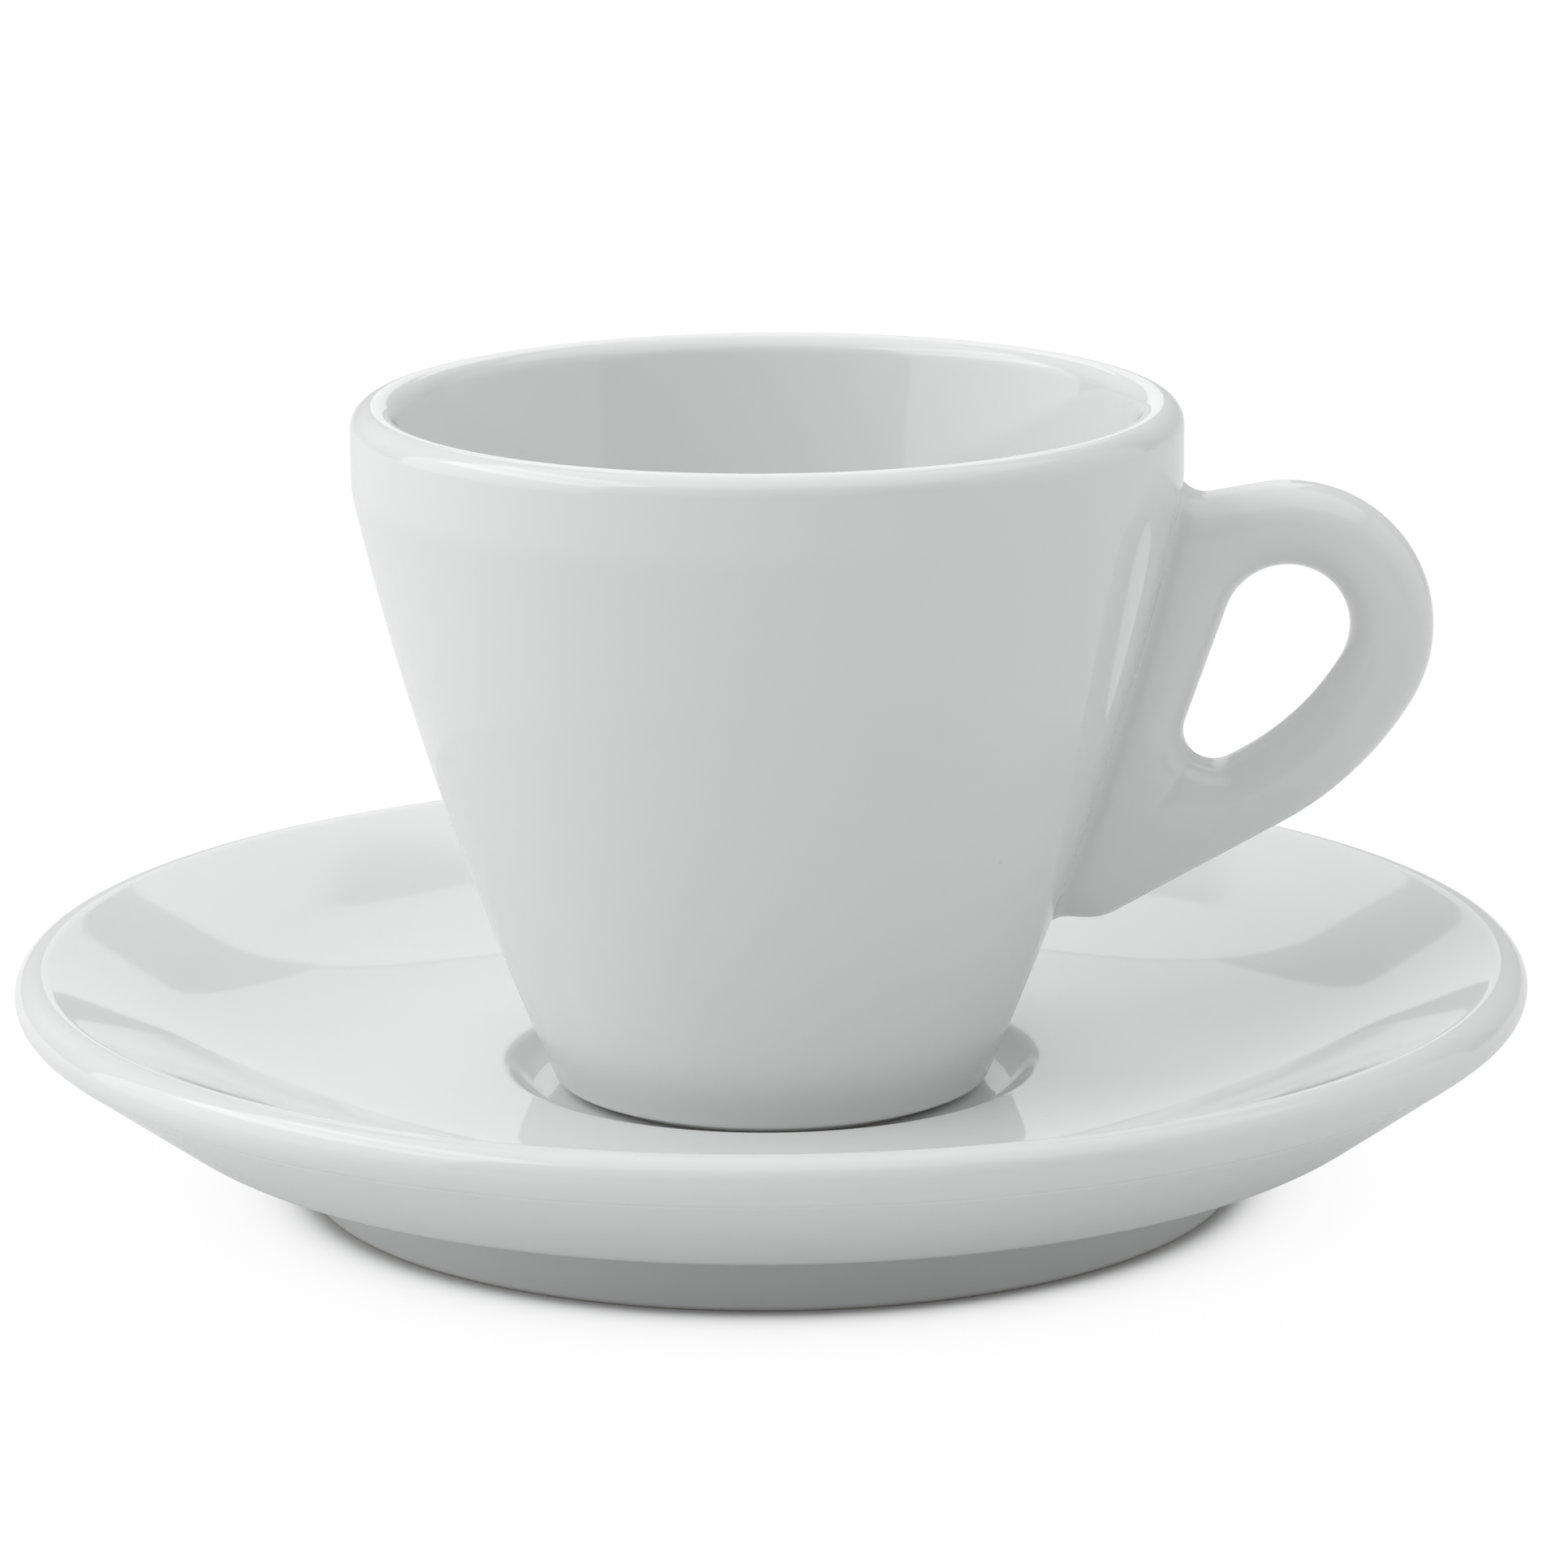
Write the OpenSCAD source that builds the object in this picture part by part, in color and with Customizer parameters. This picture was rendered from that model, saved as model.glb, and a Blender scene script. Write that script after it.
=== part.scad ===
// Espresso cup with saucer in thick white bar porcelain.
// The cup stands loose in the well of the saucer; its pierced handle is cast apart and luted to the wall.
// Millimetres, +Z up, origin on the table under the middle of the saucer, handle along +X.

/* [Saucer] */
// Diameter over the rim
saucer_d = 117; // [105:0.5:135]
// Height of the rim above the table
saucer_h = 18.1; // [16.5:0.1:22]
// Radius of the rolled rim
rim_r = 1.9; // [1.2:0.1:2.2]
// Height of the rolled rim, from its top to the crease under it
rim_h = 3.8; // [3:0.1:5]
// Distance from the edge in to that crease
rim_inset = 1.2; // [0.8:0.05:2]
// Diameter of the belly, where the underside turns in to the foot
belly_d = 94.5; // [86:0.5:98]
// Height of the belly above the table
belly_h = 7; // [6:0.1:8]
// Rounding of the belly
belly_round = 8; // [2:0.5:10]
// Outer diameter of the foot ring on the table
saucer_foot_d = 72.4; // [60:0.2:78]
// Height of the foot ring outside
saucer_foot_h = 4.2; // [3.4:0.1:5]
// Width of the foot ring at the table
saucer_foot_w = 3.6; // [2.4:0.1:5]
// Rounding on the edges of the foot ring
saucer_foot_round = 0.7; // [0.3:0.1:1]
// Outward lean of the foot ring over its height
saucer_foot_lean = 0.7; // [0:0.1:1.5]
// Thickness of the floor under the well
saucer_floor = 4.4; // [3.2:0.1:4.8]

/* [Saucer dish] */
// Height of the well floor, where the cup stands
well_floor_h = 7.5; // [6.8:0.1:8.4]
// Depth of the well below its brim
well_depth = 1.8; // [1.2:0.1:2.6]
// Play between the foot of the cup and the floor of the well, on the radius
well_play = 3.7; // [1:0.1:6]
// Width of the sloping side of the well
well_slope = 2.2; // [1.9:0.1:3]
// Rounding at the brim of the well
well_brim_round = 1.6; // [0.6:0.1:2]
// Rounding inside, between that side and the floor of the well
well_floor_round = 4.5; // [1:0.1:5]
// Diameter where the flat of the dish turns up into the flange
dish_d = 76; // [62:0.5:86]
// Rise of the dish from the brim of the well to that turn
dish_rise = 0.5; // [0.2:0.1:1.2]
// Radius of the turn from dish to flange
dish_round = 46; // [20:1:60]

/* [Cup] */
// Height of the cup from foot to lip
cup_h = 53.8; // [51:0.1:60]
// Diameter over the lip
mouth_d = 63.6; // [58:0.2:70]
// Thickness of the rounded lip
lip_t = 3.5; // [3:0.1:4.6]
// Diameter at the crossing of the upper and lower wall tangents
waist_d = 52.8; // [48:0.2:57]
// Height of that crossing above the foot
waist_h = 23; // [19:0.5:29]
// Radius of the gentle bow of the wall
wall_bow = 250; // [120:5:280]
// Height at which the wall turns upright under the lip
shoulder_h = 47.5; // [43:0.1:48.5]
// Roundness of that turn
shoulder_round = 8; // [4:0.5:30]
// Wall thickness at the waist, measured level
wall_t = 4.5; // [3.6:0.1:5.6]
// Diameter at the heel, under the wall
heel_d = 33.8; // [33:0.2:36]
// Height of the heel above the well floor
heel_h = 0.9; // [0.8:0.05:1.6]
// Rounding of the heel
heel_round = 0.8; // [0.3:0.1:1.2]
// Thickness of the cup floor above its recess
cup_floor = 4.4; // [3:0.1:6]
// Radius of the gentle bow of the wall inside
bowl_bow = 120; // [60:5:140]
// Rounding inside, between wall and floor
bowl_round = 9; // [5:0.5:10]

/* [Cup foot] */
// Outer diameter of the foot ring
cup_foot_d = 29.8; // [27:0.2:30.4]
// Width of the foot ring
cup_foot_w = 2.4; // [1.6:0.1:4]
// Depth of the recess inside the foot ring
cup_recess = 1.6; // [0.8:0.1:2.4]
// Rounding on the edges of the foot ring
cup_foot_round = 0.2; // [0.1:0.05:0.25]

/* [Handle] */
// Reach of the handle beyond the lip
handle_reach = 19.3; // [16:0.1:24]
// Top of the handle below the lip
handle_drop = 6.6; // [5.5:0.1:10]
// Height of the lower root on the wall
handle_root_h = 13.2; // [11:0.1:16]
// Thickness of the loop, seen from the side
grip_t = 6.4; // [5:0.1:7.5]
// Width of the loop, seen from the front
grip_w = 7; // [5.5:0.1:9]
// Bar between the wall and the finger hole
web_t = 5.0; // [4:0.1:6]
// Radius of the loop outside, over its top and outermost edge
loop_round = 11.3; // [10:0.1:13]
// Dip of the handle's upper edge from the top of the loop to its root
top_dip = 1.3; // [0.2:0.1:2]
// How far the arm's lower edge passes outside the circle of the loop
elbow_ease = 2.1; // [0.3:0.1:3]
// Radius of the elbow, which leads from the loop into the arm
elbow_round = 26; // [18:0.5:32]
// Roundness of the lower tip of the finger hole
tip_round = 2.5; // [1:0.1:3]
// Distance from the wall to the heel, where the arm's lower edge ends
arm_heel = 3.8; // [2.4:0.1:4.5]
// Drop of that heel below the root
arm_drop = 0.3; // [0.1:0.1:1.5]
// Roundness of that heel
arm_heel_round = 4.5; // [2:0.1:5]
// How far the fork of web and arm is filled below the finger hole
fork_fill = 2.4; // [2:0.1:4]
// Fillet of slip above and below the handle, where it meets the wall
root_fillet = 2.3; // [1:0.1:3]
// Fillet of slip along the sides of the handle
side_fillet = 0.8; // [0.4:0.1:1.6]
// Thickness of the slip layer between handle and wall
slip_t = 0.05; // [0.02:0.01:0.2]

/* [Hidden] */

porcelain = [0.93, 0.94, 0.94];
porcelain_shade = [0.88, 0.9, 0.91];

// Largest distance between a curve and its chords, and the widest step round an arc
curve_tol = 0.012;
max_step = 10;
// Facets of a full turn
turn_fn = 180;
// Sections round the loop of the handle, points round each section, and steps along the wall
loop_steps = 96;
section_steps = 24;
wall_steps = 12;
// Depth to which the fillets at the roots run into the wall, and how much of it the blank keeps
fillet_bite = 0.4;
root_cover = 0.1;
// Smallest number that counts
tiny = 1e-6;
// How far the rolled rim wraps under its widest point, and the rounding in the crease below it
rim_wrap = 62;
crease_round = 0.5;
// Power of the handle's rounded sections: 1 gives ellipses, and less gives fuller ones
section_power = 0.9;
// Width over which one edge of the handle passes over into the next, and so for the fork
edge_blend = 1.2;
fork_blend = 1.6;

saucer_r = saucer_d / 2;
saucer_foot_r = saucer_foot_d / 2;
belly_r = belly_d / 2;
mouth_r = mouth_d / 2;
lip_r = lip_t / 2;
waist_r = waist_d / 2;
heel_r = heel_d / 2;
cup_foot_r = cup_foot_d / 2;
well_r = cup_foot_r + well_play;
brim_r = well_r + well_slope;
brim_h = well_floor_h + well_depth;
handle_x = mouth_r + handle_reach;
handle_top = cup_h - handle_drop;

// Points of an arc about c from angle a0 to a1
function arc_steps(r, sweep) =
    let (step = min(max_step, 2 * acos(1 - curve_tol / max(r, curve_tol))))
    max(2, ceil(abs(sweep) / step));
function arc(c, r, a0, a1) =
    let (n = arc_steps(r, a1 - a0))
    [for (i = [0:n]) c + r * polar(a0 + (a1 - a0) * i / n)];

function unit(v) = v / norm(v);
function angle_of(v) = atan2(v.y, v.x);
function polar(a) = [cos(a), sin(a)];
function turn(a) = a - 360 * round(a / 360);
function xy(p) = [p.x, p.y];
function without_first(line) = [for (i = [1:len(line) - 1]) line[i]];

// Half the angle at corner p between the corners a and b
function half_angle(a, p, b) = acos(unit(xy(a) - xy(p)) * unit(xy(b) - xy(p))) / 2;

// Fillet of radius r at corner p between the corners a and b
function fillet(a, p, b, r) =
    let (
        u = unit(xy(a) - xy(p)),
        w = unit(xy(b) - xy(p)),
        half = half_angle(a, p, b),
        c = xy(p) + unit(u + w) * r / sin(half),
        run = r / tan(half),
        a0 = angle_of(xy(p) + u * run - c),
        a1 = angle_of(xy(p) + w * run - c)
    )
    arc(c, r, a0, a0 + turn(a1 - a0));

// Outline through corners [x, y, rounding]; a corner with no rounding stays sharp.
// Two roundings that would overlap on the side between them share that side.
function rounded(path) =
    let (
        n = len(path),
        round_at = [for (p = path) len(p) > 2 ? p[2] : 0],
        side = [for (i = [0:n - 1]) norm(xy(path[(i + 1) % n]) - xy(path[i]))],
        run = [for (i = [0:n - 1])
            round_at[i] > 0
                ? round_at[i] / tan(half_angle(path[(i + n - 1) % n], path[i], path[(i + 1) % n]))
                : 0]
    )
    [for (i = [0:n - 1])
        let (
            before = (i + n - 1) % n,
            after = (i + 1) % n,
            share = min(1, side[before] / (run[before] + run[i]), side[i] / (run[i] + run[after]))
        )
        each round_at[i] > 0
            ? fillet(path[before], path[i], path[after], round_at[i] * share)
            : [xy(path[i])]];

// Angle at which the tangent from p touches the circle (c, r); side is 1 or -1
function tangent_angle(p, c, r, side) = angle_of(p - c) + side * acos(r / norm(p - c));

// Crossing of the line through p along u with the line through q along w
function crossing(p, u, q, w) = p + u * cross(q - p, w) / cross(u, w);

// Saucer, half section

rim_c = [saucer_r - rim_r, saucer_h - rim_r];
flange_foot = [dish_d / 2, brim_h + dish_rise];
flange_angle = turn(tangent_angle(flange_foot, rim_c, rim_r, -1));
// The roll wraps under to the crease, where the belly's straight flank begins
crease_p = [saucer_r - rim_inset, saucer_h - rim_h];

saucer_profile = concat(
    [
        [0, well_floor_h - saucer_floor],
        [saucer_foot_r - saucer_foot_w - saucer_foot_lean, well_floor_h - saucer_floor, saucer_foot_round],
        [saucer_foot_r - saucer_foot_w, 0, saucer_foot_round],
        [saucer_foot_r, 0, saucer_foot_round],
        [saucer_foot_r + saucer_foot_lean, saucer_foot_h, saucer_foot_round],
        [belly_r, belly_h, belly_round],
        [crease_p.x, crease_p.y, crease_round]
    ],
    arc(rim_c, rim_r, -rim_wrap, flange_angle),
    [
        [flange_foot.x, flange_foot.y, dish_round],
        [brim_r, brim_h, well_brim_round],
        [well_r, well_floor_h, well_floor_round],
        [0, well_floor_h]
    ]
);

module saucer() {
    color(porcelain)
        rotate_extrude($fn = turn_fn)
            polygon(rounded(saucer_profile));
}

// Cup, half section in its own height, from the foot up

lip_c = [mouth_r - lip_r, cup_h - lip_r];
waist_p = [waist_r, waist_h];
inner_waist = [waist_r - wall_t, waist_h];
lip_inside = tangent_angle(inner_waist, lip_c, lip_r, -1);
bowl_floor_h = cup_recess + cup_floor;
lower_wall = unit(waist_p - [heel_r, heel_h]);
bowl_corner = crossing(inner_waist, lower_wall, [0, bowl_floor_h], [1, 0]);

cup_underside = [
    [0, cup_recess],
    [cup_foot_r - cup_foot_w, cup_recess, cup_foot_round],
    [cup_foot_r - cup_foot_w, 0, cup_foot_round],
    [cup_foot_r, 0, cup_foot_round]
];
cup_wall = [
    [heel_r, heel_h, heel_round],
    [waist_p.x, waist_p.y, wall_bow],
    [mouth_r, shoulder_h, shoulder_round]
];
cup_bowl = [
    [inner_waist.x, inner_waist.y, bowl_bow],
    [bowl_corner.x, bowl_corner.y, bowl_round],
    [0, bowl_floor_h]
];
lip_arc = arc(lip_c, lip_r, 0, turn(lip_inside));

module cup_body() {
    color(porcelain)
        translate([0, 0, well_floor_h])
            rotate_extrude($fn = turn_fn)
                polygon(rounded(concat(cup_underside, cup_wall, lip_arc, cup_bowl)));
}

// Outer wall radius at height h, read from the same outline as the cup
cup_outside = rounded(concat(cup_underside, cup_wall, lip_arc, [[0, cup_h]]));
wall_table = [for (p = cup_outside) if (p.x > heel_r && p.y < lip_c.y) [p.y, p.x]];
function wall_r(h) = lookup(h, wall_table);

// Handle, drawn in the plane of the cup's axis as [distance from the axis, height]

loop_c = [handle_x - loop_round, handle_top - loop_round];
inner_round = loop_round - grip_t;
arm_end = [wall_r(handle_root_h) + arm_heel, handle_root_h - arm_drop];

// The arm's lower edge runs from its heel past the loop; the elbow touches both
arm_gap = loop_round + elbow_ease;
arm_dir = unit(loop_c + arm_gap * polar(tangent_angle(arm_end, loop_c, arm_gap, 1)) - arm_end);
arm_normal = [-arm_dir.y, arm_dir.x];
elbow_back = sqrt(pow(elbow_round - loop_round, 2) - pow(elbow_round - arm_gap, 2));
elbow_c = loop_c + (elbow_round - arm_gap) * arm_normal - elbow_back * arm_dir;
elbow_start = angle_of(loop_c - elbow_c);
elbow_end = angle_of(-arm_normal);

// The finger hole keeps the grip's thickness inside loop, elbow and arm, and the web's beside the wall
tip_wall = wall_r(handle_root_h + grip_t) + web_t;
tip_lean = [wall_r(handle_top) - wall_r(handle_root_h + grip_t), handle_top - handle_root_h - grip_t];
hole_tip = crossing(arm_end + grip_t * arm_normal, arm_dir, [tip_wall, handle_root_h + grip_t], tip_lean);
hole_side = turn(tangent_angle(hole_tip, loop_c, inner_round, -1));
handle_hole = rounded(concat(
    without_first(arc(loop_c, inner_round, elbow_start, hole_side)),
    [[hole_tip.x, hole_tip.y, tip_round]],
    arc(elbow_c, elbow_round - grip_t, elbow_end, elbow_start)
));
hole_edge = concat(handle_hole, [handle_hole[0]]);

// The free edge runs round the handle from root to root, and turns into the wall at both with a fillet
function wall_point(h, depth) = [wall_r(h) - depth, h];
upper_root = wall_point(handle_top - top_dip, fillet_bite);
lower_root = wall_point(handle_root_h, fillet_bite);
crown = turn(tangent_angle(upper_root, loop_c, loop_round, -1));
root_line = rounded(concat(
    [
        wall_point(handle_top + root_fillet, fillet_bite),
        [upper_root.x, upper_root.y, root_fillet]
    ],
    arc(loop_c, loop_round, crown, elbow_start),
    without_first(arc(elbow_c, elbow_round, elbow_start, elbow_end)),
    [
        [arm_end.x, arm_end.y, arm_heel_round],
        [lower_root.x, lower_root.y, root_fillet],
        wall_point(handle_root_h - root_fillet, fillet_bite)
    ]
));
free_edge = [for (p = root_line) if (p.x > wall_r(p.y) - root_cover) p];

// Inside the wall the blank closes as far in as the web is sunk
root_sink = grip_t - web_t;
root_from = free_edge[len(free_edge) - 1].y;
root_to = free_edge[0].y;
handle_outline = concat(
    free_edge,
    [for (i = [0:wall_steps]) wall_point(root_from + (root_to - root_from) * i / wall_steps, root_sink)]
);

// Distance from c to a closed outline along the direction u
function reach(outline, c, u) =
    max([for (i = [0:len(outline) - 1])
        let (
            p = outline[i] - c,
            e = outline[(i + 1) % len(outline)] - outline[i],
            d = cross(u, e),
            s = abs(d) < tiny ? -1 : cross(p, u) / d
        )
        if (abs(s - 0.5) < 0.5 + tiny) cross(p, e) / d]);

// Distance from p to the nearest point of an open line
function distance(p, line) =
    min([for (i = [0:len(line) - 2])
        let (
            e = line[i + 1] - line[i],
            s = min(1, max(0, (p - line[i]) * e / (e * e)))
        )
        norm(p - line[i] - s * e)]);

// That many points at even steps along a closed outline
function evenly_spaced(outline, count) =
    let (
        line = concat(outline, [outline[0]]),
        n = len(line),
        run = [for (i = 0, s = 0; i < n; s = s + norm(line[(i + 1) % n] - line[i]), i = i + 1) s],
        x_at = [for (i = [0:n - 1]) [run[i], line[i].x]],
        y_at = [for (i = [0:n - 1]) [run[i], line[i].y]]
    )
    [for (k = [0:count - 1])
        let (s = run[n - 1] * k / count)
        [lookup(s, x_at), lookup(s, y_at)]];

// The lesser of a and b, with a soft changeover
function blended_least(a, b, width) =
    let (near = max(width - abs(a - b), 0) / width)
    min(a, b) - near * near * width / 4;

// Half the width of the handle at a point of its plane. Loop and arm are one round bar along the free edge,
// the web is a second one along the wall, and the two fork below the finger hole.
function half_width(p) =
    let (
        gap = p.x - wall_r(p.y),
        edge = distance(p, free_edge),
        web = min(gap + root_sink, web_t - gap),
        fork = max(min(edge, grip_t - edge), web) + fork_fill,
        rim = blended_least(edge, distance(p, hole_edge), edge_blend),
        depth = blended_least(blended_least(rim, fork, fork_blend), gap + root_sink, edge_blend),
        rise = min(1, max(0, 2 * depth / grip_t)),
        short = side_fillet - min(side_fillet, max(0, gap)),
        swell = side_fillet - sqrt(side_fillet * side_fillet - short * short)
    )
    (grip_w / 2 + swell) * pow(1 - (1 - rise) * (1 - rise), section_power / 2);

// Section from the finger hole to the point q of the outline, bent round the cup's axis
function section(q) =
    let (
        u = unit(q - loop_c),
        inner = loop_c + u * reach(handle_hole, loop_c, u)
    )
    [for (j = [0:section_steps - 1])
        let (
            t = 360 * j / section_steps,
            p = inner + (q - inner) * (1 + cos(t)) / 2,
            y = sign(sin(t)) * half_width(p)
        )
        [sqrt(p.x * p.x - y * y), y, p.y]];

module handle_blank() {
    points = [for (q = evenly_spaced(handle_outline, loop_steps)) each section(q)];
    faces = [for (i = [0:loop_steps - 1], j = [0:section_steps - 1])
        let (
            here = i * section_steps,
            next = (i + 1) % loop_steps * section_steps,
            l = (j + 1) % section_steps
        )
        each [[here + l, next + l, next + j], [here + l, next + j, here + j]]];
    polyhedron(points, faces);
}

module cup_handle() {
    color(porcelain_shade)
        translate([0, 0, well_floor_h])
            difference() {
                handle_blank();
                rotate_extrude($fn = turn_fn)
                    offset_wall(slip_t);
            }
}

// Half section of the cup's outside, grown level by d
module offset_wall(d) {
    polygon([for (p = cup_outside) p.x > 0 ? [p.x + d, p.y] : p]);
}

saucer();
cup_body();
cup_handle();
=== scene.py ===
# Espresso cup with saucer in thick white glazed porcelain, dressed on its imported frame.
from math import acos, atan2, ceil, cos, hypot, pi, radians, sin, sqrt, tan

import bmesh
import bpy
import numpy as np
from mathutils import Euler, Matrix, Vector


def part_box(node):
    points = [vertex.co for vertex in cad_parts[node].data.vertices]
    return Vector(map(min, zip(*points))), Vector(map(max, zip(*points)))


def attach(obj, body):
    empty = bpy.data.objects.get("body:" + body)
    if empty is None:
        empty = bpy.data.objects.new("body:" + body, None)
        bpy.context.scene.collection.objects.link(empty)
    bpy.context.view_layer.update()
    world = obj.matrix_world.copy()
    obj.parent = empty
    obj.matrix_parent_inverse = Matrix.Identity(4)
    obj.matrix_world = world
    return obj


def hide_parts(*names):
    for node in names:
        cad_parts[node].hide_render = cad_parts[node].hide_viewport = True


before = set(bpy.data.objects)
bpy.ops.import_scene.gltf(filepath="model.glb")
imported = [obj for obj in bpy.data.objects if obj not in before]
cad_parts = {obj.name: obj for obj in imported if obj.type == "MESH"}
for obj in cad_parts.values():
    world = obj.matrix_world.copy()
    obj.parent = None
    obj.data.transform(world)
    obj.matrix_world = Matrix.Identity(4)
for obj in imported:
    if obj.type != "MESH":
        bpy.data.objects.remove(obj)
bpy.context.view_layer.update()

# Sizes are in millimetres; a mesh is scaled to metres when it is made
MM = 0.001


def node_box(node):
    low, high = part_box(node)
    return low / MM, high / MM


saucer_high = node_box("saucer")[1]
cup_low, cup_high = node_box("cup_body")
handle_high = node_box("cup_handle")[1]

# Saucer
SAUCER_R = saucer_high.x
SAUCER_H = saucer_high.z
RIM_R = 1.9
RIM_H = 3.8
RIM_INSET = 1.2
RIM_WRAP = radians(62)
CREASE_ROUND = 0.5
BELLY_R = 47.25
BELLY_H = 7.0
BELLY_ROUND = 8.0
SAUCER_FOOT_R = 36.2
SAUCER_FOOT_H = 4.2
SAUCER_FOOT_W = 3.6
SAUCER_FOOT_LEAN = 0.7
SAUCER_FOOT_ROUND = 0.7
SAUCER_FLOOR = 4.4

# Dish and well of the saucer; the cup stands on the well floor
WELL_FLOOR_H = cup_low.z
WELL_DEPTH = 1.8
WELL_PLAY = 3.7
WELL_SLOPE = 2.2
WELL_BRIM_ROUND = 1.6
WELL_FLOOR_ROUND = 4.5
DISH_R = 38.0
DISH_RISE = 0.5
DISH_ROUND = 46.0

# Cup, in heights above its own foot
CUP_H = cup_high.z - cup_low.z
MOUTH_R = cup_high.x
LIP_R = 1.75
WAIST_R = 26.4
WAIST_H = 23.0
WALL_BOW = 250.0
SHOULDER_H = 47.5
SHOULDER_ROUND = 8.0
WALL_T = 4.5
HEEL_R = 16.9
HEEL_H = 0.9
HEEL_ROUND = 0.8
CUP_FLOOR = 4.4
BOWL_BOW = 120.0
BOWL_ROUND = 9.0
CUP_FOOT_R = 14.9
CUP_FOOT_W = 2.4
CUP_RECESS = 1.6
CUP_FOOT_ROUND = 0.2

# Handle, in heights above the foot of the cup
HANDLE_DROP = 6.6
HANDLE_ROOT_H = 13.2
GRIP_T = 6.4
GRIP_W = 7.0
WEB_T = 5.0
LOOP_ROUND = 11.3
TOP_DIP = 1.3
ELBOW_EASE = 2.1
ELBOW_ROUND = 26.0
TIP_ROUND = 2.5
ARM_HEEL = 3.8
ARM_DROP = 0.3
ARM_HEEL_ROUND = 4.5
ROOT_FILLET = 2.3
SIDE_FILLET = 0.8
SECTION_FILL = 0.45                  # 0.5 is an ellipse, less is fuller
ROOT_SINK = GRIP_T - WEB_T           # part of the web's bar inside the wall
FILLET_BITE = 0.4                    # depth inside the wall at which the fillets start
FREE_EDGE_BITE = FILLET_BITE / 4     # depth down to which their line counts as free edge
EDGE_BLEND = 1.2
VALLEY_LIFT = 2.4
VALLEY_BLEND = 1.6

# Fineness of the meshes
ARC_STEP = radians(5)
LONGEST_STEP = 1.0
STEPS_ROUND = 240
LOOP_STEPS = 288
SECTION_STEPS = 96
WALL_STEPS = 40
WELD = 0.002

# Slack in the search for where a ray meets an outline
PARALLEL = 1e-9
SIDE_SLACK = 1e-6


# Outlines in a plane

def point(x, y):
    return np.array([x, y], float)


def unit(v):
    return v / hypot(v[0], v[1])


def polar(angle):
    return point(cos(angle), sin(angle))


def angle_of(v):
    return atan2(v[1], v[0])


def nearest_turn(angle):
    return angle - 2 * pi * round(angle / (2 * pi))


def cross(a, b):
    return a[0] * b[1] - a[1] * b[0]


def arc(centre, radius, start, end):
    steps = max(2, ceil(abs(end - start) / min(ARC_STEP, LONGEST_STEP / radius)))
    return [centre + radius * polar(angle) for angle in np.linspace(start, end, steps + 1)]


def fillet(before, corner, after, radius):
    """Arc of that radius between the lines from corner to before and after."""
    to_before = unit(before - corner)
    to_after = unit(after - corner)
    half = acos(to_before @ to_after) / 2
    centre = corner + unit(to_before + to_after) * radius / sin(half)
    run = radius / tan(half)
    start = angle_of(corner + to_before * run - centre)
    end = angle_of(corner + to_after * run - centre)
    return arc(centre, radius, start, start + nearest_turn(end - start))


def rounded(path):
    """Line through points and (point, radius) corners; its two ends stay as they are."""
    places = [step[0] if isinstance(step, tuple) else step for step in path]
    line = []
    for i, step in enumerate(path):
        if isinstance(step, tuple):
            line += fillet(places[i - 1], places[i], places[i + 1], step[1])
        else:
            line.append(step)
    return [line[0]] + [b for a, b in zip(line, line[1:]) if hypot(*(b - a)) > WELD]


def divided(line):
    """The same line with its long stretches cut into short steps."""
    points = [line[0]]
    for a, b in zip(line, line[1:]):
        cuts = ceil(hypot(*(b - a)) / LONGEST_STEP)
        points += [a + (b - a) * k / cuts for k in range(1, cuts + 1)]
    return np.array(points)


def tangent_angle(p, centre, radius, side):
    """Angle at which the tangent from p touches the circle; side is 1 or -1."""
    return angle_of(p - centre) + side * acos(radius / hypot(*(p - centre)))


def crossing(p, u, q, w):
    """Crossing of the line through p along u with the line through q along w."""
    return p + u * cross(q - p, w) / cross(u, w)


# Half sections of the two turned pieces

def saucer_section():
    rim_centre = point(SAUCER_R - RIM_R, SAUCER_H - RIM_R)
    well_r = CUP_FOOT_R + WELL_PLAY
    brim = point(well_r + WELL_SLOPE, WELL_FLOOR_H + WELL_DEPTH)
    flange_foot = point(DISH_R, brim[1] + DISH_RISE)
    flange_angle = nearest_turn(tangent_angle(flange_foot, rim_centre, RIM_R, -1))
    under = WELL_FLOOR_H - SAUCER_FLOOR
    foot_in = SAUCER_FOOT_R - SAUCER_FOOT_W
    return divided(rounded([
        point(0, under),
        (point(foot_in - SAUCER_FOOT_LEAN, under), SAUCER_FOOT_ROUND),
        (point(foot_in, 0), SAUCER_FOOT_ROUND),
        (point(SAUCER_FOOT_R, 0), SAUCER_FOOT_ROUND),
        (point(SAUCER_FOOT_R + SAUCER_FOOT_LEAN, SAUCER_FOOT_H), SAUCER_FOOT_ROUND),
        (point(BELLY_R, BELLY_H), BELLY_ROUND),
        (point(SAUCER_R - RIM_INSET, SAUCER_H - RIM_H), CREASE_ROUND),
        *arc(rim_centre, RIM_R, -RIM_WRAP, flange_angle),
        (flange_foot, DISH_ROUND),
        (brim, WELL_BRIM_ROUND),
        (point(well_r, WELL_FLOOR_H), WELL_FLOOR_ROUND),
        point(0, WELL_FLOOR_H),
    ]))


lip_centre = point(MOUTH_R - LIP_R, CUP_H - LIP_R)


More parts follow.
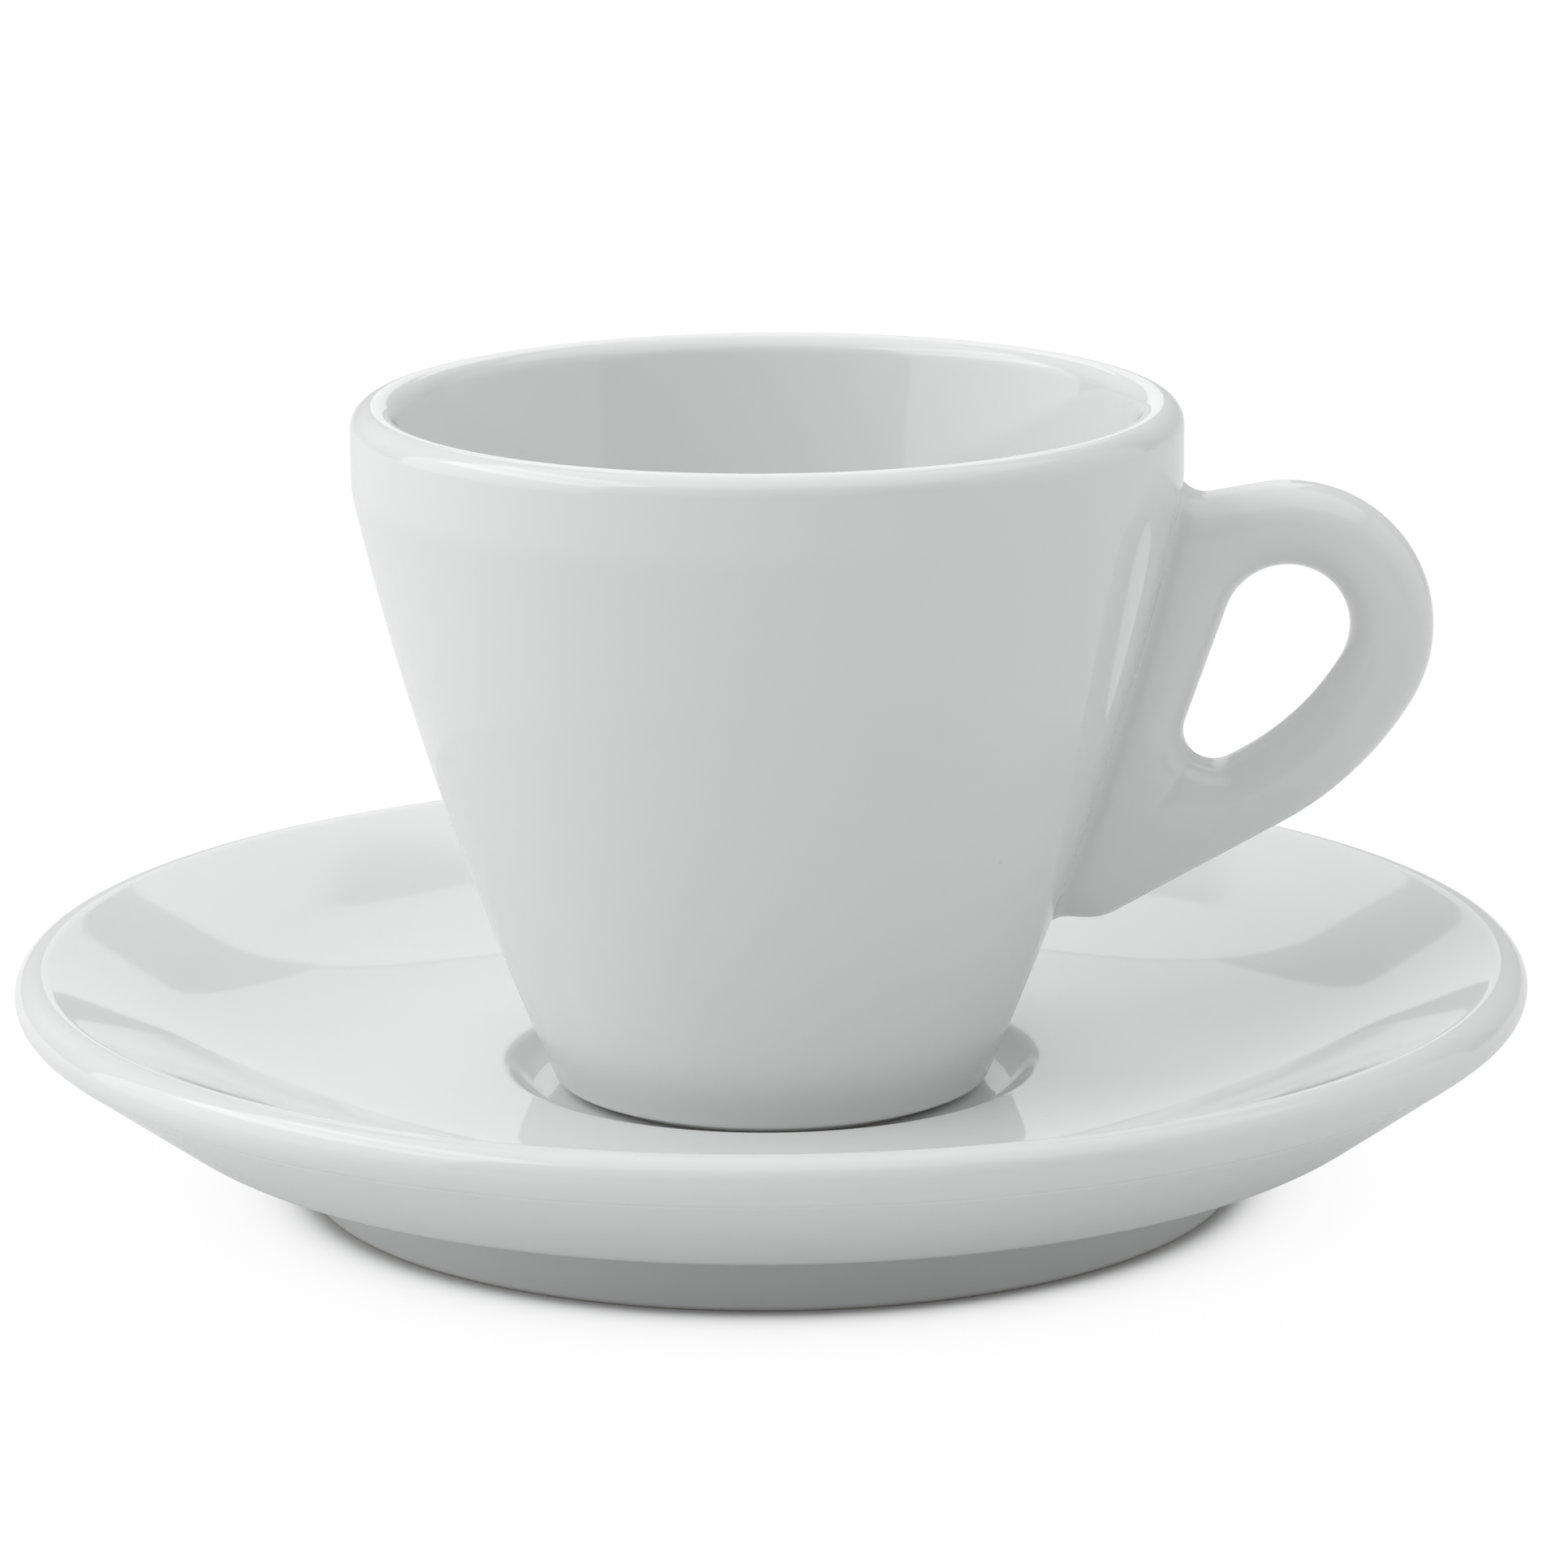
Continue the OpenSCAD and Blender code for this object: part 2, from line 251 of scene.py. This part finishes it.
def cup_outside():
    """Underside and outer wall of the cup, from the axis to the lip's widest point."""
    return [
        point(0, CUP_RECESS),
        (point(CUP_FOOT_R - CUP_FOOT_W, CUP_RECESS), CUP_FOOT_ROUND),
        (point(CUP_FOOT_R - CUP_FOOT_W, 0), CUP_FOOT_ROUND),
        (point(CUP_FOOT_R, 0), CUP_FOOT_ROUND),
        (point(HEEL_R, HEEL_H), HEEL_ROUND),
        (point(WAIST_R, WAIST_H), WALL_BOW),
        (point(MOUTH_R, SHOULDER_H), SHOULDER_ROUND),
        lip_centre + point(LIP_R, 0),
    ]


def cup_section():
    waist = point(WAIST_R, WAIST_H)
    inner_waist = point(WAIST_R - WALL_T, WAIST_H)
    bowl_floor = point(0, CUP_RECESS + CUP_FLOOR)
    lower_wall = unit(waist - point(HEEL_R, HEEL_H))
    bowl_corner = crossing(inner_waist, lower_wall, bowl_floor, point(1, 0))
    lip_inside = nearest_turn(tangent_angle(inner_waist, lip_centre, LIP_R, -1))
    line = divided(rounded([
        *cup_outside(),
        *arc(lip_centre, LIP_R, 0, lip_inside)[1:],
        (inner_waist, BOWL_BOW),
        (bowl_corner, BOWL_ROUND),
        bowl_floor,
    ]))
    return line + point(0, WELL_FLOOR_H)


wall_line = np.array(rounded(cup_outside()))
wall_line = wall_line[wall_line[:, 0] > HEEL_R]


def wall_r(height):
    return np.interp(height, wall_line[:, 1], wall_line[:, 0])


# Node trees, for shaders and for geometry alike

class Wire:
    """An output of a node that takes part in sums and products."""

    def __init__(self, graph, socket):
        self.graph = graph
        self.socket = socket

    def maths(self, operation, *values):
        sockets = dict(enumerate(values))
        return self.graph.add("ShaderNodeMath", {"operation": operation}, sockets).out()

    def __add__(self, other):
        return self.maths("ADD", self, other)

    __radd__ = __add__

    def __mul__(self, other):
        return self.maths("MULTIPLY", self, other)

    __rmul__ = __mul__

    def __sub__(self, other):
        return self.maths("SUBTRACT", self, other)

    def __rsub__(self, other):
        return self.maths("SUBTRACT", other, self)

    def __truediv__(self, other):
        return self.maths("DIVIDE", self, other)

    def __rtruediv__(self, other):
        return self.maths("DIVIDE", other, self)

    def __mod__(self, other):
        return self.maths("MODULO", self, other)

    def floor(self):
        return self.maths("FLOOR", self)

    def above(self, limit):
        return self.maths("GREATER_THAN", self, limit)

    def or_more(self, other):
        return self.maths("MAXIMUM", self, other)


class Placed:
    """A node in a graph, whose outputs are read by name or number."""

    def __init__(self, graph, node):
        self.graph = graph
        self.node = node

    def out(self, name=0):
        return Wire(self.graph, self.node.outputs[name])


class Graph:
    """A node tree that nodes are added to."""

    def __init__(self, tree):
        self.tree = tree

    def add(self, kind, settings=None, sockets=None):
        node = self.tree.nodes.new(kind)
        for name, value in (settings or {}).items():
            setattr(node, name, value)
        for name, value in (sockets or {}).items():
            if isinstance(value, Wire):
                self.tree.links.new(value.socket, node.inputs[name])
            else:
                node.inputs[name].default_value = value
        return Placed(self, node)


def shader_graph(owner):
    owner.use_nodes = True
    owner.node_tree.nodes.clear()
    return Graph(owner.node_tree)


# Finishes

GLAZE_WHITE = (0.80, 0.815, 0.81, 1)
GLAZE_THIN = (0.775, 0.79, 0.787, 1)
CLOUD_SPAN = 18
GLAZE_IOR = 1.52
GLAZE_ROUGHNESS = 0.045
GLOSS_SPREAD = 0.03
GLOSS_SPAN = 9
RIPPLE_SPAN = 7
RIPPLE_H = 0.006
PEEL_SPAN = 1.1
PEEL_H = 0.0005

# Pinhole specks, one at most in each cell of a random mosaic
SPECK_GREY = (0.42, 0.41, 0.39, 1)
SPECK_DEPTH = 0.25       # how far a speck takes the glaze to that grey
SPECK_CELL = 3.5
SPECK_SIZE = 0.035       # largest radius, as a share of a cell
SPECK_FREE = 0.85        # share of the cells that have none

# Bare ground foot under the edge of the glaze
BARE_BISQUE = (0.70, 0.68, 0.64, 1)
BARE_ROUGHNESS = 0.6     # added to that of the glaze
GRAIN_SPAN = 0.25
GRAIN_H = 0.02
GLAZE_EDGE_SPAN = 1.5
GLAZE_EDGE_WANDER = 0.3
SAUCER_BARE_H = 0.3
CUP_BARE_H = 0.25


def glazed_porcelain(name, bare_below):
    """White glaze with faint clouding, specks and a soft ripple; bare below that height."""
    material = bpy.data.materials.new(name)
    graph = shader_graph(material)
    place = graph.add("ShaderNodeTexCoord").out("Object")
    height = graph.add("ShaderNodeSeparateXYZ", {}, {"Vector": place}).out("Z")

    def noise(wavelength, detail):
        sockets = {"Vector": place, "Scale": 1 / (wavelength * MM), "Detail": detail}
        return graph.add("ShaderNodeTexNoise", {}, sockets).out(0)

    def mixed(factor, a, b):
        # Numbered sockets, because the node has others of the same name for numbers and vectors
        sockets = {"Factor": factor, 6: a, 7: b}
        return graph.add("ShaderNodeMix", {"data_type": "RGBA"}, sockets).out(2)

    cells = graph.add("ShaderNodeTexVoronoi", {}, {"Vector": place, "Scale": 1 / (SPECK_CELL * MM)})
    lot = graph.add("ShaderNodeSeparateColor", {}, {"Color": cells.out("Color")})
    speck_size = SPECK_SIZE * lot.out("Green")
    specks = (speck_size - cells.out("Distance")).above(0) * lot.out("Red").above(SPECK_FREE)

    edge = noise(GLAZE_EDGE_SPAN, 2)
    bare = (bare_below * MM + GLAZE_EDGE_WANDER * MM * (edge - 0.5) - height).above(0)
    clouds = noise(CLOUD_SPAN, 3)
    colour = mixed(clouds, GLAZE_THIN, GLAZE_WHITE)
    colour = mixed(SPECK_DEPTH * specks, colour, SPECK_GREY)
    colour = mixed(bare, colour, BARE_BISQUE)
    gloss = GLAZE_ROUGHNESS + GLOSS_SPREAD * noise(GLOSS_SPAN, 2)
    ripple = noise(RIPPLE_SPAN, 1)
    peel = noise(PEEL_SPAN, 1)
    grain = noise(GRAIN_SPAN, 2)
    relief = RIPPLE_H * ripple + PEEL_H * peel + bare * (GRAIN_H * grain)
    bump = graph.add("ShaderNodeBump", {}, {"Height": relief, "Distance": MM, "Strength": 1.0})
    shader = graph.add("ShaderNodeBsdfPrincipled", {}, {
        "Base Color": colour,
        "Roughness": gloss + bare * BARE_ROUGHNESS,
        "IOR": GLAZE_IOR,
        "Normal": bump.out(),
    })
    graph.add("ShaderNodeOutputMaterial", {}, {"Surface": shader.out()})
    return material


# Pieces

def finished(obj, mesh):
    """Welds the mesh, turns its faces outwards, smooths it and gives it to obj."""
    work = bmesh.new()
    work.from_mesh(mesh)
    bmesh.ops.remove_doubles(work, verts=work.verts, dist=WELD * MM)
    bmesh.ops.recalc_face_normals(work, faces=work.faces)
    for face in work.faces:
        face.smooth = True
    work.to_mesh(mesh)
    work.free()
    obj.data = mesh
    return obj


def new_object(name, mesh):
    obj = bpy.data.objects.new(name, mesh)
    bpy.context.scene.collection.objects.link(obj)
    return obj


def wheel_tree():
    """Geometry nodes that turn a half section about the Z axis."""
    tree = bpy.data.node_groups.new("turned_on_the_wheel", "GeometryNodeTree")
    interface = tree.interface
    interface.new_socket("Section", in_out="INPUT", socket_type="NodeSocketGeometry")
    interface.new_socket("Steps round", in_out="INPUT", socket_type="NodeSocketInt")
    interface.new_socket("Weld", in_out="INPUT", socket_type="NodeSocketFloat")
    interface.new_socket("Glaze", in_out="INPUT", socket_type="NodeSocketMaterial")
    interface.new_socket("Piece", in_out="OUTPUT", socket_type="NodeSocketGeometry")
    graph = Graph(tree)
    given = graph.add("NodeGroupInput")
    section = given.out("Section")
    steps = given.out("Steps round")
    count = graph.add("GeometryNodeAttributeDomainSize", {}, {"Geometry": section}).out("Point Count")
    columns = steps + 1
    sheet = graph.add("GeometryNodeMeshGrid", {}, {"Vertices X": count, "Vertices Y": columns})
    index = graph.add("GeometryNodeInputIndex").out()
    here = graph.add("GeometryNodeInputPosition").out()
    row = (index / columns).floor()
    angle = (index % columns) * (2 * pi) / steps
    on_section = graph.add(
        "GeometryNodeSampleIndex",
        {"data_type": "FLOAT_VECTOR", "domain": "POINT"},
        {"Geometry": section, "Value": here, "Index": row},
    ).out()
    turned = graph.add(
        "ShaderNodeVectorRotate",
        {"rotation_type": "Z_AXIS"},
        {"Vector": on_section, "Angle": angle},
    ).out()
    placed = graph.add(
        "GeometryNodeSetPosition", {},
        {"Geometry": sheet.out("Mesh"), "Position": turned},
    ).out()
    welded = graph.add(
        "GeometryNodeMergeByDistance", {},
        {"Geometry": placed, "Distance": given.out("Weld")},
    ).out()
    real = graph.add("GeometryNodeRealizeInstances", {}, {"Geometry": welded}).out()
    glazed = graph.add(
        "GeometryNodeSetMaterial", {},
        {"Geometry": real, "Material": given.out("Glaze")},
    ).out()
    graph.add("NodeGroupOutput", {}, {"Piece": glazed})
    return tree


def turned_piece(name, section, tree, glaze):
    """A piece of revolution: its half section as a wire, turned by the tree and made a plain mesh."""
    wire = bpy.data.meshes.new(name + "_section")
    places = [(x * MM, 0, z * MM) for x, z in section]
    steps = [(i, i + 1) for i in range(len(section) - 1)]
    wire.from_pydata(places, steps, [])
    obj = new_object(name, wire)
    wheel = obj.modifiers.new("wheel", "NODES")
    wheel.node_group = tree
    values = {"Steps round": STEPS_ROUND, "Weld": WELD * MM, "Glaze": glaze}
    for socket in tree.interface.items_tree:
        if socket.in_out == "INPUT" and socket.name in values:
            wheel[socket.identifier] = values[socket.name]
    depsgraph = bpy.context.evaluated_depsgraph_get()
    mesh = bpy.data.meshes.new_from_object(obj.evaluated_get(depsgraph), depsgraph=depsgraph)
    obj.modifiers.clear()
    return finished(obj, mesh)


# Handle, drawn as distance from the cup's axis and height above the cup's foot

def wall_point(height, depth):
    return point(wall_r(height) - depth, height)


def handle_lines():
    """Centre of the loop, finger hole, free edge, and the line that closes it inside the wall."""
    handle_x = handle_high.x
    handle_top = CUP_H - HANDLE_DROP
    loop_c = point(handle_x - LOOP_ROUND, handle_top - LOOP_ROUND)
    inner_round = LOOP_ROUND - GRIP_T
    arm_end = point(wall_r(HANDLE_ROOT_H) + ARM_HEEL, HANDLE_ROOT_H - ARM_DROP)
    arm_gap = LOOP_ROUND + ELBOW_EASE
    arm_dir = unit(loop_c + arm_gap * polar(tangent_angle(arm_end, loop_c, arm_gap, 1)) - arm_end)
    arm_normal = point(-arm_dir[1], arm_dir[0])
    elbow_back = sqrt((ELBOW_ROUND - LOOP_ROUND) ** 2 - (ELBOW_ROUND - arm_gap) ** 2)
    elbow_c = loop_c + (ELBOW_ROUND - arm_gap) * arm_normal - elbow_back * arm_dir
    elbow_start = angle_of(loop_c - elbow_c)
    elbow_end = angle_of(-arm_normal)

    tip_h = HANDLE_ROOT_H + GRIP_T
    tip_wall = point(wall_r(tip_h) + WEB_T, tip_h)
    tip_lean = point(wall_r(handle_top) - wall_r(tip_h), handle_top - tip_h)
    hole_tip = crossing(arm_end + GRIP_T * arm_normal, arm_dir, tip_wall, tip_lean)
    hole_side = nearest_turn(tangent_angle(hole_tip, loop_c, inner_round, -1))
    hole = rounded([
        *arc(loop_c, inner_round, elbow_start, hole_side)[1:],
        (hole_tip, TIP_ROUND),
        *arc(elbow_c, ELBOW_ROUND - GRIP_T, elbow_end, elbow_start),
    ])

    upper_root = wall_point(handle_top - TOP_DIP, FILLET_BITE)
    lower_root = wall_point(HANDLE_ROOT_H, FILLET_BITE)
    crown = nearest_turn(tangent_angle(upper_root, loop_c, LOOP_ROUND, -1))
    outside = rounded([
        wall_point(handle_top + ROOT_FILLET, FILLET_BITE),
        (upper_root, ROOT_FILLET),
        *arc(loop_c, LOOP_ROUND, crown, elbow_start),
        *arc(elbow_c, ELBOW_ROUND, elbow_start, elbow_end),
        (arm_end, ARM_HEEL_ROUND),
        (lower_root, ROOT_FILLET),
        wall_point(HANDLE_ROOT_H - ROOT_FILLET, FILLET_BITE),
    ])
    free_edge = [place for place in outside if place[0] > wall_r(place[1]) - FREE_EDGE_BITE]
    heights = np.linspace(free_edge[-1][1], free_edge[0][1], WALL_STEPS)
    inside_wall = [wall_point(height, ROOT_SINK) for height in heights]
    return loop_c, np.array(hole), np.array(free_edge), np.array(inside_wall)


def reach(outline, centre, directions):
    """Distance from centre to a closed outline along each direction."""
    start = outline - centre
    side = np.roll(outline, -1, 0) - outline
    ux, uy = directions[:, 0, None], directions[:, 1, None]
    slant = ux * side[:, 1] - uy * side[:, 0]
    slant = np.where(abs(slant) < PARALLEL, PARALLEL, slant)
    along = (start[:, 0] * uy - start[:, 1] * ux) / slant
    far = (start[:, 0] * side[:, 1] - start[:, 1] * side[:, 0]) / slant
    return np.where(abs(along - 0.5) < 0.5 + SIDE_SLACK, far, -np.inf).max(1)


def distance(points, line):
    """Distance of each point from an open line."""
    nearest = np.full(len(points), np.inf)
    for a, b in zip(line, line[1:]):
        side = b - a
        share = np.clip((points - a) @ side / (side @ side), 0, 1)
        gap = points - a - share[:, None] * side
        nearest = np.minimum(nearest, np.hypot(gap[:, 0], gap[:, 1]))
    return nearest


def blended_least(a, b, width):
    """The lesser of a and b, with a soft changeover."""
    near = np.maximum(width - abs(a - b), 0) / width
    return np.minimum(a, b) - near * near * width / 4


def half_width(points, hole, free_edge):
    """Half the width of the handle at points of its plane.

    The loop and its arm are a round bar along the free edge, the web is a second one along the wall,
    partly sunk in it. Below the tip of the finger hole they meet in a shallow valley.
    """
    gap = points[:, 0] - wall_r(points[:, 1])
    edge = distance(points, free_edge)
    web = np.minimum(gap + ROOT_SINK, WEB_T - gap)
    valley = np.maximum(np.minimum(edge, GRIP_T - edge), web) + VALLEY_LIFT
    depth = blended_least(edge, distance(points, hole), EDGE_BLEND)
    depth = blended_least(depth, valley, VALLEY_BLEND)
    depth = blended_least(depth, gap + ROOT_SINK, EDGE_BLEND)
    rise = np.clip(depth / (GRIP_T / 2), 0, 1)
    dome = (1 - (1 - rise) ** 2) ** SECTION_FILL
    short = SIDE_FILLET - np.clip(gap, 0, SIDE_FILLET)
    swell = SIDE_FILLET - np.sqrt(SIDE_FILLET ** 2 - short ** 2)
    return (GRIP_W / 2 + swell) * dome


def evenly_spaced(outline, count):
    """That many points at even steps along a closed outline."""
    closed = np.vstack([outline, outline[:1]])
    travel = np.concatenate([[0], np.cumsum(np.hypot(*np.diff(closed, axis=0).T))])
    stops = np.linspace(0, travel[-1], count, endpoint=False)
    return np.stack([np.interp(stops, travel, closed[:, axis]) for axis in (0, 1)], 1)


def handle_piece(name, glaze):
    loop_c, hole, free_edge, inside_wall = handle_lines()
    closed_hole = np.vstack([hole, hole[:1]])
    rays = evenly_spaced(np.vstack([free_edge, inside_wall]), LOOP_STEPS) - loop_c
    outer = np.hypot(rays[:, 0], rays[:, 1])
    directions = rays / outer[:, None]
    inner = reach(hole, loop_c, directions)
    turn = np.linspace(0, 2 * pi, SECTION_STEPS, endpoint=False)
    spread = (inner + outer)[:, None] / 2 + (outer - inner)[:, None] / 2 * np.cos(turn)
    plane = (loop_c + directions[:, None] * spread[..., None]).reshape(-1, 2)
    # 1 on one side of the handle, -1 on the other, 0 on its two edges
    side = np.tile(np.sign(np.round(np.sin(turn), 6)), LOOP_STEPS)
    y = side * half_width(plane, closed_hole, free_edge)
    x = np.sqrt(plane[:, 0] ** 2 - y ** 2)
    places = np.stack([x, y, plane[:, 1] + WELL_FLOOR_H], 1) * MM
    ring = np.arange(LOOP_STEPS)[:, None] * SECTION_STEPS
    step = np.arange(SECTION_STEPS)
    next_ring = np.roll(ring, -1, 0)
    next_step = np.roll(step, -1)
    corners = [ring + step, next_ring + step, next_ring + next_step, ring + next_step]
    faces = np.stack(corners, -1).reshape(-1, 4)
    mesh = bpy.data.meshes.new(name)
    mesh.from_pydata(places.tolist(), [], faces.tolist())
    mesh.materials.append(glaze)
    return finished(new_object(name, mesh), mesh)


wheel = wheel_tree()
saucer_glaze = glazed_porcelain("saucer_glaze", SAUCER_BARE_H)
cup_glaze = glazed_porcelain("cup_glaze", WELL_FLOOR_H + CUP_BARE_H)

saucer_piece = turned_piece("saucer_glazed", saucer_section(), wheel, saucer_glaze)
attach(saucer_piece, "saucer")
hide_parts("saucer")

cup_piece = turned_piece("cup_body_glazed", cup_section(), wheel, cup_glaze)
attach(cup_piece, "cup")
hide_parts("cup_body")

ear_piece = handle_piece("cup_handle_glazed", cup_glaze)
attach(ear_piece, "cup")
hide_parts("cup_handle")


# Studio in metres: white floor, pale surroundings, soft boxes

FLOOR_REACH = 3.0
FLOOR_WHITE = (0.8, 0.8, 0.8, 1)
SHADE_FADE = 1.6         # millimetres from the saucer's foot to half the white
MIRRORED_FLOOR = 0.3     # share of that white in the glaze's reflections
ROOM_GREY = (0.39, 0.39, 0.39, 1)


def studio_floor():
    """Floor that is seen as white, but for the shade close round the saucer's foot."""
    mesh = bpy.data.meshes.new("studio_floor")
    r = FLOOR_REACH
    corners = [(-r, -r, 0), (r, -r, 0), (r, r, 0), (-r, r, 0)]
    mesh.from_pydata(corners, [], [(0, 1, 2, 3)])
    material = bpy.data.materials.new("studio_white")
    graph = shader_graph(material)
    path = graph.add("ShaderNodeLightPath")
    mirrored = path.out("Is Glossy Ray").or_more(path.out("Is Transmission Ray"))
    seen = path.out("Is Camera Ray") + MIRRORED_FLOOR * mirrored
    place = graph.add("ShaderNodeTexCoord").out("Object")
    span = graph.add("ShaderNodeVectorMath", {"operation": "LENGTH"}, {0: place}).out("Value")
    away = (span / (SHADE_FADE * MM) - SAUCER_FOOT_R / SHADE_FADE).or_more(0)
    clear = away * away / (away * away + 1)
    lit = graph.add("ShaderNodeBsdfDiffuse", {}, {"Color": FLOOR_WHITE})
    white = graph.add("ShaderNodeEmission", {}, {"Color": (1, 1, 1, 1)})
    shown = graph.add("ShaderNodeMixShader", {}, {"Fac": seen * clear, 1: lit.out(), 2: white.out()})
    graph.add("ShaderNodeOutputMaterial", {}, {"Surface": shown.out()})
    mesh.materials.append(material)
    new_object("studio_floor", mesh)


def soft_box(name, place, aim, width, height, brightness):
    """Rectangular lamp at place, facing aim; a brightness of 1 looks as bright as white paper."""
    lamp = bpy.data.lights.new(name, "AREA")
    lamp.shape = "RECTANGLE"
    lamp.size = width
    lamp.size_y = height
    lamp.energy = brightness * pi * width * height
    obj = bpy.data.objects.new(name, lamp)
    obj.location = place
    obj.rotation_euler = (Vector(aim) - Vector(place)).to_track_quat("-Z", "Y").to_euler()
    obj.visible_camera = False
    bpy.context.scene.collection.objects.link(obj)


def surroundings():
    world = bpy.data.worlds.new("pale_room")
    bpy.context.scene.world = world
    graph = shader_graph(world)
    sky = graph.add("ShaderNodeBackground", {}, {"Color": ROOM_GREY})
    graph.add("ShaderNodeOutputWorld", {}, {"Surface": sky.out()})


CUP_MIDDLE = (0, 0, 0.035)
studio_floor()
surroundings()
soft_box("left_sheet", (-0.9, -0.15, 0.45), (0, -0.1, 0.35), 1.3, 0.9, 0.95)
soft_box("left_high_box", (-0.7, -0.1, 0.8), CUP_MIDDLE, 1.0, 0.5, 1.6)
soft_box("top_sheet", (0.1, -0.05, 0.9), (0.1, -0.05, 0), 1.5, 1.1, 0.78)
soft_box("back_box", (0, 0.6, 0.7), (0, 0, 0.7), 0.344, 0.68, 0.9)
soft_box("back_strip", (0, 0.95, 0.345), (0, 0, 0.345), 0.24, 0.43, 0.5)
soft_box("back_sheet", (0, 1.0, 0.3), (0, 0, 0.3), 2.0, 0.6, 0.14)
soft_box("right_sheet", (0.9, 0, 0.4), (0, 0, 0.35), 1.2, 0.8, 0.45)

# Camera, where the photograph was taken from

CAMERA_PLACE = (0.0011, -0.5164, 0.1547)
CAMERA_PITCH = radians(76.544)
CAMERA_ROLL = radians(-0.4)
CAMERA_LENS = 157.76
CAMERA_SENSOR = 36


def place_camera():
    data = bpy.data.cameras.new("photo_view")
    data.lens = CAMERA_LENS
    data.sensor_width = CAMERA_SENSOR
    camera = bpy.data.objects.new("photo_view", data)
    camera.location = CAMERA_PLACE
    pitch = Euler((CAMERA_PITCH, 0, 0)).to_matrix()
    roll = Euler((0, 0, CAMERA_ROLL)).to_matrix()
    camera.rotation_euler = (pitch @ roll).to_euler()
    bpy.context.scene.collection.objects.link(camera)
    bpy.context.scene.camera = camera


place_camera()
bpy.context.scene.view_settings.view_transform = "Standard"
